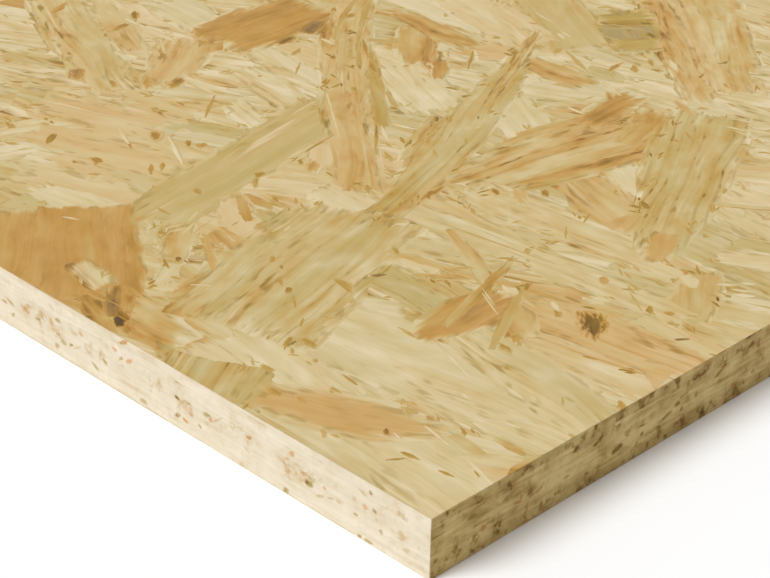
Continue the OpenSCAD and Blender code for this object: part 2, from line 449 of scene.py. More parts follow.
class Pressing:
    """Strands laid on a face from the top down, over a grid that knows which cells are still bare."""

    def __init__(self, face, cell):
        self.face = face
        self.cell = cell
        self.reach_along = face.half_along + GRID_MARGIN * cell
        self.reach_across = face.half_across + GRID_MARGIN * cell
        self.columns = math.ceil(2 * self.reach_along / cell)
        self.rows = math.ceil(2 * self.reach_across / cell)
        self.owner = np.full((self.rows, self.columns), -1)
        self.level = np.full((self.rows, self.columns), -1)
        self.strands = []

    def window(self, strand):
        """The grid's rows and columns round a strand, the cells it covers and those it may touch."""
        c, s = strand.axes()
        margin = TOUCH_MARGIN * self.cell
        half_length = strand.length / 2 + margin
        side = TOUCH_ACROSS * max(strand.widths) / 2 + abs(strand.bow) + margin
        span_along = abs(c) * half_length + abs(s) * side
        span_across = abs(s) * half_length + abs(c) * side
        left = strand.middle[0] + self.reach_along
        low = strand.middle[1] + self.reach_across
        first_column = max(int((left - span_along) / self.cell), 0)
        last_column = max(int((left + span_along) / self.cell) + 1, 0)
        first_row = max(int((low - span_across) / self.cell), 0)
        last_row = max(int((low + span_across) / self.cell) + 1, 0)
        part = (slice(first_row, last_row), slice(first_column, last_column))
        rows, columns = self.owner[part].shape
        along = (np.arange(columns) + first_column + 0.5) * self.cell - self.reach_along
        across = (np.arange(rows) + first_row + 0.5) * self.cell - self.reach_across
        u, v = strand.to_grain(along[None, :], across[:, None])
        half_width = strand.half_width(u)
        covers = (np.abs(u) < COVER_ALONG * strand.length) & (np.abs(v) < COVER_ACROSS * half_width)
        touches = (np.abs(u) < half_length) & (np.abs(v) < TOUCH_ACROSS * half_width + margin)
        return part, covers, touches

    def lay(self, strand):
        """Slides a strand in under those already laid. It is kept only if some of it shows."""
        part, covers, touches = self.window(strand)
        fresh = covers & (self.owner[part] < 0)
        if not fresh.any():
            return
        strand.level = int(self.level[part][touches].max()) + 1
        self.level[part][touches] = strand.level
        self.owner[part][fresh] = len(self.strands)
        self.strands.append(strand)

    def cell_middle(self, row, column):
        """Place of a cell in the face's plan."""
        return (column + 0.5) * self.cell - self.reach_along, (row + 0.5) * self.cell - self.reach_across

    def cover(self, rng, sample):
        """Lays sampled strands over bare cells until only slits are left, two cells wide at most."""
        while True:
            open_cells = self.owner < 0
            wide = open_cells[:-1, :-1] & open_cells[1:, 1:] & open_cells[1:, :-1] & open_cells[:-1, 1:]
            rows, columns = np.nonzero(wide)
            if not len(rows):
                return
            bare = rows * self.columns + columns
            for index in rng.choice(bare, min(BATCH, len(bare)), replace=False):
                row, column = divmod(int(index), self.columns)
                if self.owner[row, column] >= 0:
                    continue
                self.lay(sample(rng, self.face, self.cell_middle(row, column)))

    def settle(self, relief):
        """Gives each strand its depth: the more strands lie over it, the deeper it is pressed."""
        for strand in self.strands:
            pressed = relief * (1 - math.exp(-strand.level / STEP_FADE))
            strand.depth = SKIN + pressed + LEVEL_STEP * strand.level
        self.slits = np.argwhere(self.owner < 0)
        self.fill_slits()
        self.depths = np.array([strand.depth for strand in self.strands])
        self.looks = np.array([strand.look for strand in self.strands])

    def under(self, points):
        """Numbers of the strands that show at points of the plan."""
        column = ((points[:, 0] + self.reach_along) / self.cell).astype(int)
        row = ((points[:, 1] + self.reach_across) / self.cell).astype(int)
        return self.owner[row.clip(0, self.rows - 1), column.clip(0, self.columns - 1)]

    def shown(self, spot):
        """The strand that shows at a spot of the plan."""
        return self.strands[self.under(np.array([spot]))[0]]

    def near_border(self, spot, reach):
        """True where more than one strand shows within a short reach of a spot."""
        shifts = np.array([(0, 0), (reach, 0), (-reach, 0), (0, reach), (0, -reach)])
        return len(set(self.under(np.array(spot) + shifts))) > 1

    def fill_slits(self):
        """Gives each cell left bare to a strand beside it."""
        while (self.owner < 0).any():
            for axis in (0, 1):
                for step in (1, -1):
                    beside = np.roll(self.owner, step, axis)
                    self.owner = np.where(self.owner < 0, beside, self.owner)


# Size of a plate's top as a share of its outline, where the rim would draw it in past itself
EVEN_SHARE = 0.7

# Lift of the small bits as a share of the usual one: the least, and how far it moves on from bit to bit
LEAST_LIFT = 0.5
GOLDEN_SHARE = 0.618

# Corners of a square, and half the side of one that backs a slit, in cells
SQUARE = np.array([(-1, -1), (1, -1), (1, 1), (-1, 1)])
SLIT_HALF = 0.65


def linked(name, data):
    """A new object with that data, put into the scene."""
    thing = bpy.data.objects.new(name, data)
    bpy.context.collection.objects.link(thing)
    return thing


class MeshParts:
    """Arrays of a joined mesh that grows strand by strand on a settled pressing."""

    def __init__(self, pressing):
        self.pressing = pressing
        self.face = pressing.face
        self.limits = pressing.face.limits()
        self.corners = []
        self.loops = []
        self.sizes = []
        self.place = []
        self.look = []
        self.beside = []
        self.total = 0

    def add_strand(self, strand):
        """Adds a strand whose rim slopes down to what lies beside it."""
        plan = strand.to_plan(*strand.outline.T)
        points = moved_out(plan, RIM_MARGIN * self.pressing.cell)
        if crosses_itself(points):
            points = plan
        outline = clip_outline(points, self.limits)
        if len(outline) < 3:
            return
        owners = self.pressing.under(moved_out(outline, self.pressing.cell))
        depth = np.maximum(self.pressing.depths[owners], strand.depth) + SINK
        self.add(strand, outline, strand.depth, depth, self.pressing.looks[owners])

    def add_chip(self, bit, lift):
        """Adds a small bit that lies flush on the strands, its rim sunk into them."""
        points = bit.to_plan(*bit.outline.T)
        outline = clip_outline(points, self.limits)
        if len(outline) < 3:
            return
        owners = self.pressing.under(outline)
        depths = self.pressing.depths[owners]
        self.add(bit, outline, max(depths.min() - lift, 0.0), depths + SINK, self.pressing.looks[owners])

    def add_chips(self, bits):
        """Adds small bits, none lifted as far as those just before and after it."""
        for number, bit in enumerate(bits):
            self.add_chip(bit, CHIP_LIFT * (LEAST_LIFT + number * GOLDEN_SHARE % 1))

    def add_pressed(self):
        """Adds what backs the slits and then all strands, the deepest first."""
        self.add_slits()
        for strand in sorted(self.pressing.strands, key=lambda strand: -strand.level):
            self.add_strand(strand)

    def add(self, strand, outline, depth, rim_depth, beside):
        """Adds a plate: a flat top drawn in from the outline, and a sloped rim."""
        count = len(outline)
        top = np.clip(strand.drawn_in(outline), -self.limits, self.limits)
        if crosses_itself(top):
            middle = outline.mean(axis=0)
            top = middle + EVEN_SHARE * (outline - middle)
        at_border = (np.abs(outline) > self.limits - BORDER_SLACK).any(axis=1)
        rings = (
            (top, np.full(count, depth), np.ones(count)),
            (outline, rim_depth, at_border.astype(float)),
        )
        index = np.arange(count)
        follow = np.roll(index, -1)
        upper = self.total
        lower = self.total + count
        slope = np.stack([lower + index, lower + follow, upper + follow, upper + index], 1)
        self.loops += [upper + index, slope.ravel()]
        self.sizes += [[count], np.full(count, 4)]
        for points, depths, inside in rings:
            self.add_ring(strand, points, depths, np.stack([beside[:, 0], beside[:, 1], inside], 1))

    def add_ring(self, strand, points, depths, beside):
        """Adds points that carry a strand's look."""
        count = len(points)
        u, v = strand.to_grain(points[:, 0], points[:, 1])
        self.corners.append(self.face.place(points, depths))
        self.place.append(np.stack([u * MM, v * MM, np.full(count, strand.seed)], 1))
        self.look.append(np.tile(strand.look, (count, 1)))
        self.beside.append(beside)
        self.total += count

    def add_square(self, strand, points, depth):
        """Adds a level plate of four corners that carries a strand's look."""
        self.loops.append(self.total + np.arange(4))
        self.sizes.append([4])
        self.add_ring(strand, points, np.full(4, depth), np.tile((*strand.look[:2], 1.0), (4, 1)))

    def add_backing(self):
        """Closes the face with one plate just under its deepest strand, with the look of the first."""
        depth = self.pressing.depths.max() + 4 * SINK
        self.add_square(self.pressing.strands[0], self.limits * SQUARE, depth)

    def add_slits(self):
        """Backs each slit between the strands with squares that carry on the strand beside it."""
        pressing = self.pressing
        square = SLIT_HALF * pressing.cell * SQUARE
        for row, column in pressing.slits:
            points = np.clip(pressing.cell_middle(row, column) + square, -self.limits, self.limits)
            if np.ptp(points, axis=0).min() <= 0:
                continue
            around = pressing.owner[max(row - 1, 0):row + 2, max(column - 1, 0):column + 2]
            step = 2 * (row % 2) + column % 2
            depth = pressing.depths[around].max() + 2 * SINK + LEVEL_STEP * step
            self.add_square(pressing.strands[pressing.owner[row, column]], points, depth)

    def build(self, name, material, chart):
        """Makes the object, with its attributes and the flat chart that its colours bake to."""
        corners = np.concatenate(self.corners)
        loops = np.concatenate(self.loops)
        sizes = np.concatenate(self.sizes)
        vectors = {"place": self.place, "look": self.look, "beside": self.beside}
        mesh = bpy.data.meshes.new(name)
        mesh.vertices.add(len(corners))
        mesh.vertices.foreach_set("co", corners.ravel())
        mesh.loops.add(len(loops))
        mesh.loops.foreach_set("vertex_index", loops)
        mesh.polygons.add(len(sizes))
        mesh.polygons.foreach_set("loop_start", np.concatenate([[0], np.cumsum(sizes)[:-1]]))
        for title, values in vectors.items():
            attribute = mesh.attributes.new(title, "FLOAT_VECTOR", "POINT")
            attribute.data.foreach_set("vector", np.concatenate(values).ravel())
        flat = chart(self.face, corners / MM - self.face.middle)
        mesh.uv_layers.new(name="OFBake").data.foreach_set("uv", flat[loops].ravel())
        mesh.update(calc_edges=True)
        mesh.validate()
        mesh.shade_flat()
        mesh.materials.append(material)
        return linked(name, mesh)


# Shares of the top's length and width that the photographed corner takes, and its share of the chart
CORNER_ALONG = 0.16
CORNER_ACROSS = 0.28
CORNER_CHART = 0.5

# Rows of an edge's chart, and the gap that each row leaves free at its top and foot
CHART_ROWS = 8
CHART_GAP = 0.05


def face_chart(face, offsets):
    """Flat chart of a broad face. The photographed corner takes half of each way."""
    along = (offsets @ face.along / face.half_along + 1) / 2
    across = (offsets @ face.across / face.half_across + 1) / 2
    if face.corner is not None:
        along = 1 - np.interp(1 - along, (0, CORNER_ALONG, 1), (0, CORNER_CHART, 1))
        across = np.interp(across, (0, CORNER_ACROSS, 1), (0, CORNER_CHART, 1))
    return np.stack([along, across], 1)


def edge_chart(face, offsets):
    """Flat chart of a sawn edge, in rows laid one above the other."""
    row_length = 2 * face.half_along / CHART_ROWS
    along = offsets @ face.along + face.half_along
    across = np.clip(offsets @ face.across / (2 * face.half_across) + 0.5, 0, 1)
    row = np.clip(np.floor(along / row_length), 0, CHART_ROWS - 1)
    height = row + CHART_GAP + (1 - 2 * CHART_GAP) * across
    return np.stack([along / row_length - row, height / CHART_ROWS], 1)


# How far off its middle a strand may cover the spot it is made for, as shares of its length and width
SPOT_ALONG = 0.35
SPOT_ACROSS = 0.3

# Numbers that make the grain of one strand unlike another's
GRAIN_SEEDS = (0, 50)


def over_spot(rng, spot, angle, length, width):
    """Middle of a strand that covers a spot somewhere along and across itself."""
    u = rng.uniform(-SPOT_ALONG, SPOT_ALONG) * length
    v = rng.uniform(-SPOT_ACROSS, SPOT_ACROSS) * width
    c, s = math.cos(angle), math.sin(angle)
    return spot[0] - u * c + v * s, spot[1] - u * s - v * c


def bounded(rng, usual, spread, limits):
    """A random number round a usual one, kept within limits."""
    return float(np.clip(rng.normal(usual, spread), *limits))


# Tones of random strands with the share that has each, round the photographed corner and elsewhere
CALM_TONES = ((0.08, 0.25), (0.16, 0.35), (0.24, 0.25), (0.34, 0.12), (0.5, 0.03))
MIXED_TONES = ((0.1, 0.24), (0.2, 0.3), (0.3, 0.22), (0.42, 0.13), (0.55, 0.08), (0.68, 0.03))
TONE_SPREAD = 0.03


def random_tone(rng, calm):
    """Tone of a strand: most are pale and few are amber or brown, and fewer still where it is calm."""
    tones, shares = zip(*(CALM_TONES if calm else MIXED_TONES))
    return float(np.clip(rng.choice(tones, p=shares) + rng.normal(0, TONE_SPREAD), 0, 1))


# Short random strands: their share near the photographed corner and elsewhere, and sizes in millimetres
SHORT_SHARE_NEAR = 0.75
SHORT_SHARE = 0.15
SHORT_LENGTHS = (16, 70)
SHORT_WIDTHS = (3, 12)

# Long random strands, in millimetres: usual length with its spread and limits, and the same of the width,
# whose spread is that of its logarithm
LONG_LENGTH = (110, 26, (60, 160))
LONG_WIDTH = 20
LONG_WIDTH_SPREAD = 0.35
LONG_WIDTHS = (10, 40)

# Lie of all random strands: spread of the lean in degrees, share that lies any way, and bow by length
LEAN_SPREAD = 15
STRAY_SHARE = 0.12
BOW_SPREAD = 0.012

# Outline and look of all random strands: end widths, tears and rims by width, usual hue with its spread
# and limits, and the two shapes of the beta spread of the stripe
END_WIDTHS = (0.4, 1.0)
TEARS = (0.1, 0.4)
RIMS = (0.12, 0.35)
HUE = (-0.1, 0.3, (-0.8, 0.8))
STRIPE_BETA = (1.2, 2.0)

# Points along a side of an outline and teeth at its ends: listed strands, near the corner, and elsewhere
SEEN_POINTS = (25, 7)
NEAR_POINTS = (9, 4)
FEW_POINTS = (4, 1)


def face_strand(rng, face, spot):
    """A random strand over a spot of a broad face, most of them lying along the board."""
    near = face.is_fine(spot)
    if rng.random() < (SHORT_SHARE_NEAR if near else SHORT_SHARE):
        length = rng.uniform(*SHORT_LENGTHS)
        width = rng.uniform(*SHORT_WIDTHS)
    else:
        length = bounded(rng, *LONG_LENGTH)
        width = float(np.clip(rng.lognormal(math.log(LONG_WIDTH), LONG_WIDTH_SPREAD), *LONG_WIDTHS))
    angle = math.radians(rng.normal(CORNER_LEAN if near else 0.0, LEAN_SPREAD))
    if rng.random() < STRAY_SHARE:
        angle = rng.uniform(-math.pi / 2, math.pi / 2)
    ends = rng.uniform(*END_WIDTHS, 2) * width
    widths = (ends[0], width, ends[1])
    points = NEAR_POINTS if near else FEW_POINTS
    return Strand(
        over_spot(rng, spot, angle, length, width), angle, length, widths,
        bow=rng.normal(0, BOW_SPREAD) * length,
        outline=strand_outline(rng, length, widths, rng.uniform(*TEARS), *points),
        look=(random_tone(rng, near), bounded(rng, *HUE), rng.beta(*STRIPE_BETA)),
        seed=rng.uniform(*GRAIN_SEEDS),
        rim=rng.uniform(*RIMS) * width,
    )


# Listed strands: how soft their rims usually are, the width past which a rim grows no more,
# in millimetres, and the tear of their ends by width
SEEN_SOFT = 0.3
SEEN_RIM_WIDTH = 10.0
SEEN_TEAR = 0.25


def seen_strand(rng, face, start, end, width, ends, tone, hue, stripe, bow, soft=SEEN_SOFT):
    """A listed strand from one place to another, both measured from the photographed corner."""
    begin = np.array([face.corner[0] - start[0], face.corner[1] + start[1]])
    finish = np.array([face.corner[0] - end[0], face.corner[1] + end[1]])
    way = finish - begin
    rim = soft * min(width, SEEN_RIM_WIDTH)
    length = float(np.hypot(*way)) + rim
    widths = (ends[0] * width + rim, width + rim, ends[1] * width + rim)
    return Strand(
        tuple((begin + finish) / 2), math.atan2(way[1], way[0]), length, widths, bow,
        outline=strand_outline(rng, length, widths, SEEN_TEAR, *SEEN_POINTS),
        look=(tone, hue, stripe),
        seed=rng.uniform(*GRAIN_SEEDS),
        rim=rim,
    )


# Small bits: widths and rim as shares of the width given, the length in widths past which one is a
# fibre, a fibre's points and teeth, a blot's size as shares of length and width, its points, and stripe
CHIP_WIDTHS = (0.5, 1.6, 0.5)
CHIP_RIM = 0.75
FIBRE_FROM = 4
FIBRE_POINTS = (3, 1)
BLOT_LENGTH = 1.8
BLOT_WIDTH = 2.0
BLOT_POINTS = 8
CHIP_STRIPE = 0.2


def chip(rng, middle, angle, length, width, tone, hue):
    """A small soft bit that lies on the strands: a raised fibre that is partly a painted highlight, a
    splinter, a flake of bark, or an olive dash that is partly painted shadow.
    """
    widths = tuple(share * width for share in CHIP_WIDTHS)
    if length > FIBRE_FROM * width:
        outline = strand_outline(rng, length, widths, 0.0, *FIBRE_POINTS)
    else:
        outline = blot_outline(rng, BLOT_LENGTH * length, BLOT_WIDTH * width, BLOT_POINTS)
    return Strand(
        middle, angle, length, widths, 0.0, outline,
        look=(tone, hue, CHIP_STRIPE),
        seed=rng.uniform(*GRAIN_SEEDS),
        rim=CHIP_RIM * width,
    )


def seen_chip(rng, face, start, end, width, tone, hue):
    """A listed chip, measured from the photographed corner."""
    along = face.corner[0] - (start[0] + end[0]) / 2
    across = face.corner[1] + (start[1] + end[1]) / 2
    way = (start[0] - end[0], end[1] - start[1])
    return chip(rng, (along, across), math.atan2(way[1], way[0]), math.hypot(*way), width, tone, hue)


# Random bits: the darkest strand that has any, the spread of their lean from the grain, in radians,
# and the share of their places that has raised fibres, which are partly a painted highlight
BARE_TONE = 0.45
CHIP_LEAN = 0.15
FIBRE_PLACES = 0.1

# Raised fibres side by side: how many, sizes and steps in millimetres, then what changes from one to the
# next by length, the spread of their lean in radians, and their tone by that of the strand
FIBRE_COUNTS = (1, 5)
FIBRE_LENGTHS = (5, 13)
FIBRE_WIDTHS = (0.8, 1.6)
FIBRE_STEPS = (1.6, 3.0)
FIBRE_STRETCH = (0.5, 1.1)
FIBRE_SHIFT = 0.3
FIBRE_LEAN = 0.08
# Raised fibres are paler than their strand: partly paler wood, partly a painted highlight
FIBRE_HIGHLIGHT_TONE = 0.6

# Clusters of dashes: how many, sizes and scatter in millimetres, the spread of their lean in radians,
# how much darker than the strand they are, and hue
DASH_COUNTS = (1, 4)
DASH_LENGTHS = (1.5, 6)
DASH_WIDTHS = (0.5, 1.2)
DASH_SCATTER = 1.0
DASH_LEAN = 0.5
# Dashes by the rims of strands are partly painted shadow
DASH_DARK = (0.2, 0.55)
DASH_HUES = (-0.9, -0.5)


def random_fibre_highlights(rng, middle, angle, tone):
    """A few raised fibres side by side, paler than the strand: partly paler wood, partly a painted
    highlight.
    """
    fibre_highlights = []
    length = rng.uniform(*FIBRE_LENGTHS)
    c, s = math.cos(angle), math.sin(angle)
    for number in range(rng.integers(*FIBRE_COUNTS)):
        shift = rng.uniform(*FIBRE_STEPS) * number
        u = rng.normal(0, FIBRE_SHIFT) * length
        spot = (middle[0] + u * c - shift * s, middle[1] + u * s + shift * c)
        size = (length * rng.uniform(*FIBRE_STRETCH), rng.uniform(*FIBRE_WIDTHS))
        fibre_highlights.append(chip(rng, spot, angle + rng.normal(0, FIBRE_LEAN), *size, FIBRE_HIGHLIGHT_TONE * tone, 0.0))
    return fibre_highlights


def random_dashes(rng, middle, angle, tone):
    """A cluster of olive dashes: flecks, and by the rims of strands partly painted shadow."""
    dashes = []
    dark = rng.uniform(*DASH_DARK)
    for _ in range(rng.integers(*DASH_COUNTS)):
        spot = tuple(np.array(middle) + rng.normal(0, DASH_SCATTER, 2))
        size = (rng.uniform(*DASH_LENGTHS), rng.uniform(*DASH_WIDTHS))
        hue = rng.uniform(*DASH_HUES)
        dashes.append(chip(rng, spot, angle + rng.normal(0, DASH_LEAN), *size, tone + dark, hue))
    return dashes


def random_chips(rng, pressing, middle):
    """Raised fibres or olive dashes, partly painted highlight and shadow, where a pale strand shows."""
    strand = pressing.shown(middle)
    tone = strand.look[0]
    if tone > BARE_TONE:
        return []
    angle = strand.angle + rng.normal(0, CHIP_LEAN)
    if rng.random() < FIBRE_PLACES:
        return random_fibre_highlights(rng, middle, angle, tone)
    return random_dashes(rng, middle, angle, tone)


# Core of a sawn edge: its share of the thickness, how its border wavers in millimetres, and its tone
CORE_SHARE = 0.42
CORE_WAVER = 0.9
CORE_TONE = 0.2

# Sawn slivers: lengths in millimetres and spread of the lean in degrees, in side grain and in end grain,
# widths and bow in millimetres, ends, tears and rim by width, spread of the tone, and how much coarser
# they are away from the photographed corner
SIDE_LENGTHS = (30, 110)
SIDE_LEAN = 0.5
END_LENGTHS = (6, 22)
END_LEAN = 2.5
SLIVER_WIDTHS = (0.8, 1.8)
SLIVER_ENDS = 0.3
SLIVER_BOW = 0.15
SLIVER_TEAR = 0.4
SLIVER_RIM = 0.4
SLIVER_TONE_SPREAD = 0.04
COARSE = 1.6


def edge_sample(side_in_faces, face_tone):
    """A sampler of sawn slivers: long side grain in some layers and short end grain in the others."""

    def sample(rng, face, spot):
        in_core = abs(spot[1]) < CORE_SHARE * face.half_across + rng.normal(0, CORE_WAVER)
        side_grain = in_core != side_in_faces
        coarse = 1.0 if face.is_fine(spot) else COARSE
        if side_grain:
            length = rng.uniform(*SIDE_LENGTHS)
        else:
            length = rng.uniform(*END_LENGTHS) * coarse
        width = rng.uniform(*SLIVER_WIDTHS) * coarse
        angle = math.radians(rng.normal(0, SIDE_LEAN if side_grain else END_LEAN))
        widths = (SLIVER_ENDS * width, width, SLIVER_ENDS * width)
        tone = CORE_TONE if in_core else face_tone
        return Strand(
            over_spot(rng, spot, angle, length, width), angle, length, widths,
            bow=rng.normal(0, SLIVER_BOW),
            outline=strand_outline(rng, length, widths, SLIVER_TEAR, *FEW_POINTS),
            look=(bounded(rng, tone, SLIVER_TONE_SPREAD, (0, 1)), 0.0, float(side_grain)),
            seed=rng.uniform(*GRAIN_SEEDS),
            rim=SLIVER_RIM * width,
        )

    return sample


# Bits in a sawn edge: usual height with its spread and limits, as shares of the half thickness, sizes in
# millimetres, spread of the lean in radians, and the height past which some stand upright
BIT_HEIGHT = (-0.1, 0.42, (-0.93, 0.85))
BIT_LENGTHS = (1.2, 3.2)
BIT_WIDTHS = (0.8, 1.6)
BIT_LEAN = 0.3
UPRIGHT_HEIGHT = 0.35

# Kinds of bit: the share of all up to and with it, how much longer and wider it is, tones and hue
BIT_KINDS = (
    (0.4, 1.0, 1.0, (0.4, 0.6), -0.8),
    (0.65, 1.0, 1.0, (0.35, 0.6), 0.8),
    (0.85, 2.0, 0.8, (0.35, 0.5), 0.0),
    (1.0, 0.8, 1.0, (0.6, 0.75), 0.0),
)


def edge_bit(rng, face, upright):
    """A pore or a coloured bit in a sawn edge, most of them in the core. Some stand upright."""
    along = rng.uniform(-face.half_along, face.half_along)
    across = bounded(rng, *BIT_HEIGHT) * face.half_across
    length = rng.uniform(*BIT_LENGTHS)
    width = rng.uniform(*BIT_WIDTHS)
    angle = rng.normal(0, BIT_LEAN)
    if upright and abs(across) > UPRIGHT_HEIGHT * face.half_across:
        angle += 0.5 * math.pi
    drawn = rng.random()
    longer, wider, tones, hue = next(kind[1:] for kind in BIT_KINDS if drawn < kind[0])
    return chip(rng, (along, across), angle, longer * length, wider * width, rng.uniform(*tones), hue)


# Gloss of all wood, roughness of noise along the grain, and detail and roughness of noise in space
WOOD_GLOSS = 0.3
GRAIN_ROUGHNESS = 0.55
SPACE_DETAIL = 3.0
SPACE_ROUGHNESS = 0.6


class Shader:
    """Short calls that build the nodes of a material or a world. Most return an output socket."""

    def __init__(self, owner):
        self.owner = owner
        owner.use_nodes = True
        self.tree = owner.node_tree
        self.tree.nodes.clear()

    def make(self, kind, inputs, **settings):
        """A node with its settings and its inputs, each a number, a colour or another node's output."""
        node = self.tree.nodes.new(kind)
        for name, value in settings.items():
            setattr(node, name, value)
        for key, value in inputs.items():
            if isinstance(value, bpy.types.NodeSocket):
                self.tree.links.new(value, node.inputs[key])
            else:
                node.inputs[key].default_value = value
        return node

    def math(self, operation, first, second=0.0):
        """One operation on one or two numbers."""
        return self.make("ShaderNodeMath", {0: first, 1: second}, operation=operation).outputs[0]

    def chain(self, operation, values):
        """One operation on some numbers, from the first to the last."""
        result = values[0]
        for value in values[1:]:
            result = self.math(operation, result, value)
        return result

    def total(self, *values):
        return self.chain("ADD", values)

    def times(self, *values):
        return self.chain("MULTIPLY", values)

    def most(self, *values):
        return self.chain("MAXIMUM", values)

    def mixed(self, factor, first, second):
        """A number between two others."""
        return self.total(first, self.times(factor, self.math("SUBTRACT", second, first)))

    def span(self, value, low, high, to_low=0.0, to_high=1.0):
        """A smooth step from one number to another while a value goes from low to high."""
        inputs = {0: value, 1: low, 2: high, 3: to_low, 4: to_high}
        return self.make("ShaderNodeMapRange", inputs, interpolation_type="SMOOTHSTEP").outputs[0]

    def split(self, attribute):
        """The three numbers that an attribute of the mesh holds."""
        source = self.make("ShaderNodeAttribute", {}, attribute_name=attribute)
        return self.make("ShaderNodeSeparateXYZ", {0: source.outputs["Vector"]}).outputs

    def noise(self, vector, detail, roughness):
        inputs = {"Vector": vector, "Scale": 1.0, "Detail": detail, "Roughness": roughness}
        return self.make("ShaderNodeTexNoise", inputs).outputs["Fac"]

    def grain(self, place, along, across, detail):
        """Noise stretched along the grain, with that many spots to the metre each way."""
        u, v, seed = place
        inputs = {0: self.times(u, along), 1: self.times(v, across), 2: seed}
        vector = self.make("ShaderNodeCombineXYZ", inputs).outputs[0]
        return self.noise(vector, detail, GRAIN_ROUGHNESS)

    def stretched(self, position, rates):
        """Noise in space, with that many spots to the metre along each axis."""
        vector = self.make("ShaderNodeMapping", {0: position, 3: rates}).outputs[0]
        return self.noise(vector, SPACE_DETAIL, SPACE_ROUGHNESS)

    def swing(self, noise, size):
        """Noise turned into a swing to either side of nought."""
        return self.times(self.math("SUBTRACT", noise, 0.5), size)

    def spots(self, place, noise, fade):
        """Spots along the grain that fade in while their noise goes from low to high."""
        return self.span(self.grain(place, *noise), *fade)

    def blend(self, factor, first, second, kind="MIX"):
        """A colour between two others, or the first one stained by the second."""
        inputs = {0: factor, 6: first, 7: second}
        return self.make("ShaderNodeMix", inputs, data_type="RGBA", blend_type=kind).outputs[2]

    def ramp(self, factor, stops):
        """A colour from a row of stops."""
        node = self.make("ShaderNodeValToRGB", {0: factor})
        elements = node.color_ramp.elements
        while len(elements) < len(stops):
            elements.new(0.5)
        for element, (position, colour) in zip(elements, stops):
            element.position = position
            element.color = colour
        return node.outputs[0]

    def finish(self, colour, roughness, height, distance):
        """Ends a material with a dull surface whose bumps are that high, in metres."""
        bump = self.make("ShaderNodeBump", {"Strength": 1.0, "Distance": distance, "Height": height})
        inputs = {"Base Color": colour, "Roughness": roughness, "Normal": bump.outputs[0]}
        surface = self.make("ShaderNodeBsdfPrincipled", {**inputs, "Specular IOR Level": WOOD_GLOSS})
        self.make("ShaderNodeOutputMaterial", {0: surface.outputs[0]})
        return self.owner


def paint(red, green, blue):
    """Linear colour of an sRGB one in steps of 0 to 255."""
    levels = []
    for level in (red, green, blue):
        share = level / 255
        levels.append(share / 12.92 if share <= 0.04045 else ((share + 0.055) / 1.055) ** 2.4)
    return (*levels, 1.0)


# Colours of the pressed faces: wood from pale to dark, and what its hues, rings and spots are drawn to
WOOD_STOPS = (
    (0.0, paint(224, 207, 168)),
    (0.1, paint(215, 197, 151)),
    (0.25, paint(208, 184, 130)),
    (0.45, paint(200, 166, 101)),
    (0.63, paint(189, 143, 68)),
    (0.8, paint(148, 108, 30)),
    (1.0, paint(78, 56, 16)),
)
OLIVE = paint(168, 145, 60)
PINK = paint(213, 173, 118)
LATEWOOD = paint(160, 128, 52)
# Colour of specks and dashes in the wood, also used for the painted shadow along torn rims
FLECK_AND_SHADOW = paint(196, 180, 108)
# Pale of raised fibres: partly paler wood, partly a painted highlight
FIBRE_HIGHLIGHT = paint(230, 215, 178)

# How far the hue tints a colour, and the hue below which it goes grey
TINT = 0.6
GREY_HUE = -0.9

# Noise of pressed strands: spots to the metre along and across the grain, and detail
BENDS = (22.0, 45.0, 1.0)
FINE_LINES = (40.0, 1100.0, 1.0)
STREAKS = (9.0, 240.0, 2.0)
CLOUDS = (30.0, 75.0, 2.0)
MOTTLES = (80.0, 200.0, 2.0)
TINGES = (14.0, 110.0, 1.0)

# How far that noise swings the grain, in metres, and then the tone and the hue
BEND_SWING = 0.008
FINE_SWING = 0.08
STREAK_SWING = 0.4
CLOUD_SWING = 0.5
MOTTLE_SWING = 0.6
TINGE_SWING = 1.5

# Spots of pressed strands: noise in the same way, and where they fade in
BLURRED = ((16.0, 40.0, 0.0), (0.38, 0.6))
RING_PATCHES = ((30.0, 160.0, 1.0), (0.35, 0.65))
RING_SPECKS = ((170.0, 600.0, 1.0), (0.56, 0.7))
DASH_PATCHES = ((22.0, 60.0, 1.0), (0.51, 0.66))
DASHES = ((110.0, 420.0, 1.0), (0.53, 0.69))
# Pale raised fibres, partly a painted highlight
FIBRE_HIGHLIGHT_PATCHES = ((18.0, 80.0, 1.0), (0.48, 0.63))
FIBRE_HIGHLIGHT_LINES = ((35.0, 600.0, 1.0), (0.57, 0.73))
# Painted shadow in spots along the torn rims of strands
RIM_SHADOW_SPOTS = ((150.0, 380.0, 1.0), (0.48, 0.64))

# Rims of strands and of small bits: noise that tears them, its swing, and the least and most blur, then
# the share of a rim over which it rises from its foot, and how far small bits cover what they lie on
TORN_RIM = ((70.0, 420.0, 2.0), 1.5, (0.3, 0.5))
SOFT_RIM = ((400.0, 900.0, 2.0), 1.8, (0.45, 0.5))
RIM_FOOT = 0.3
SOFT_COVER = 0.85

# What a strand's stripe does to its swings of tone and to its dashes: from, to, and share at each
LIVELY = (0.0, 0.7, 0.45, 1.4)
DASHED = (0.0, 0.5, 0.15, 1.0)

# Growth rings: radians to the metre, the part of a wave that shows, and strength
RING_RATE = 1900.0
RING_PART = (0.2, 1.0)
RING_STRENGTH = 0.42

# Raised fibres, partly paler wood and partly a painted highlight: strength, and what tone does to it, and
# strength of the painted shadow along a torn rim
FIBRE_HIGHLIGHT_STRENGTH = 0.5
FIBRE_HIGHLIGHT_FADE = (0.25, 0.5, 1.0, 0.15)
RIM_SHADOW_STRENGTH = 2.0

# Surface of pressed strands: roughness over the fine lines, shares in the bump, and its height in metres
FACE_ROUGHNESS = (0.3, 0.7, 0.55, 0.72)
FINE_BUMP = 0.3
STREAK_BUMP = 0.4
FACE_BUMP = 0.0001


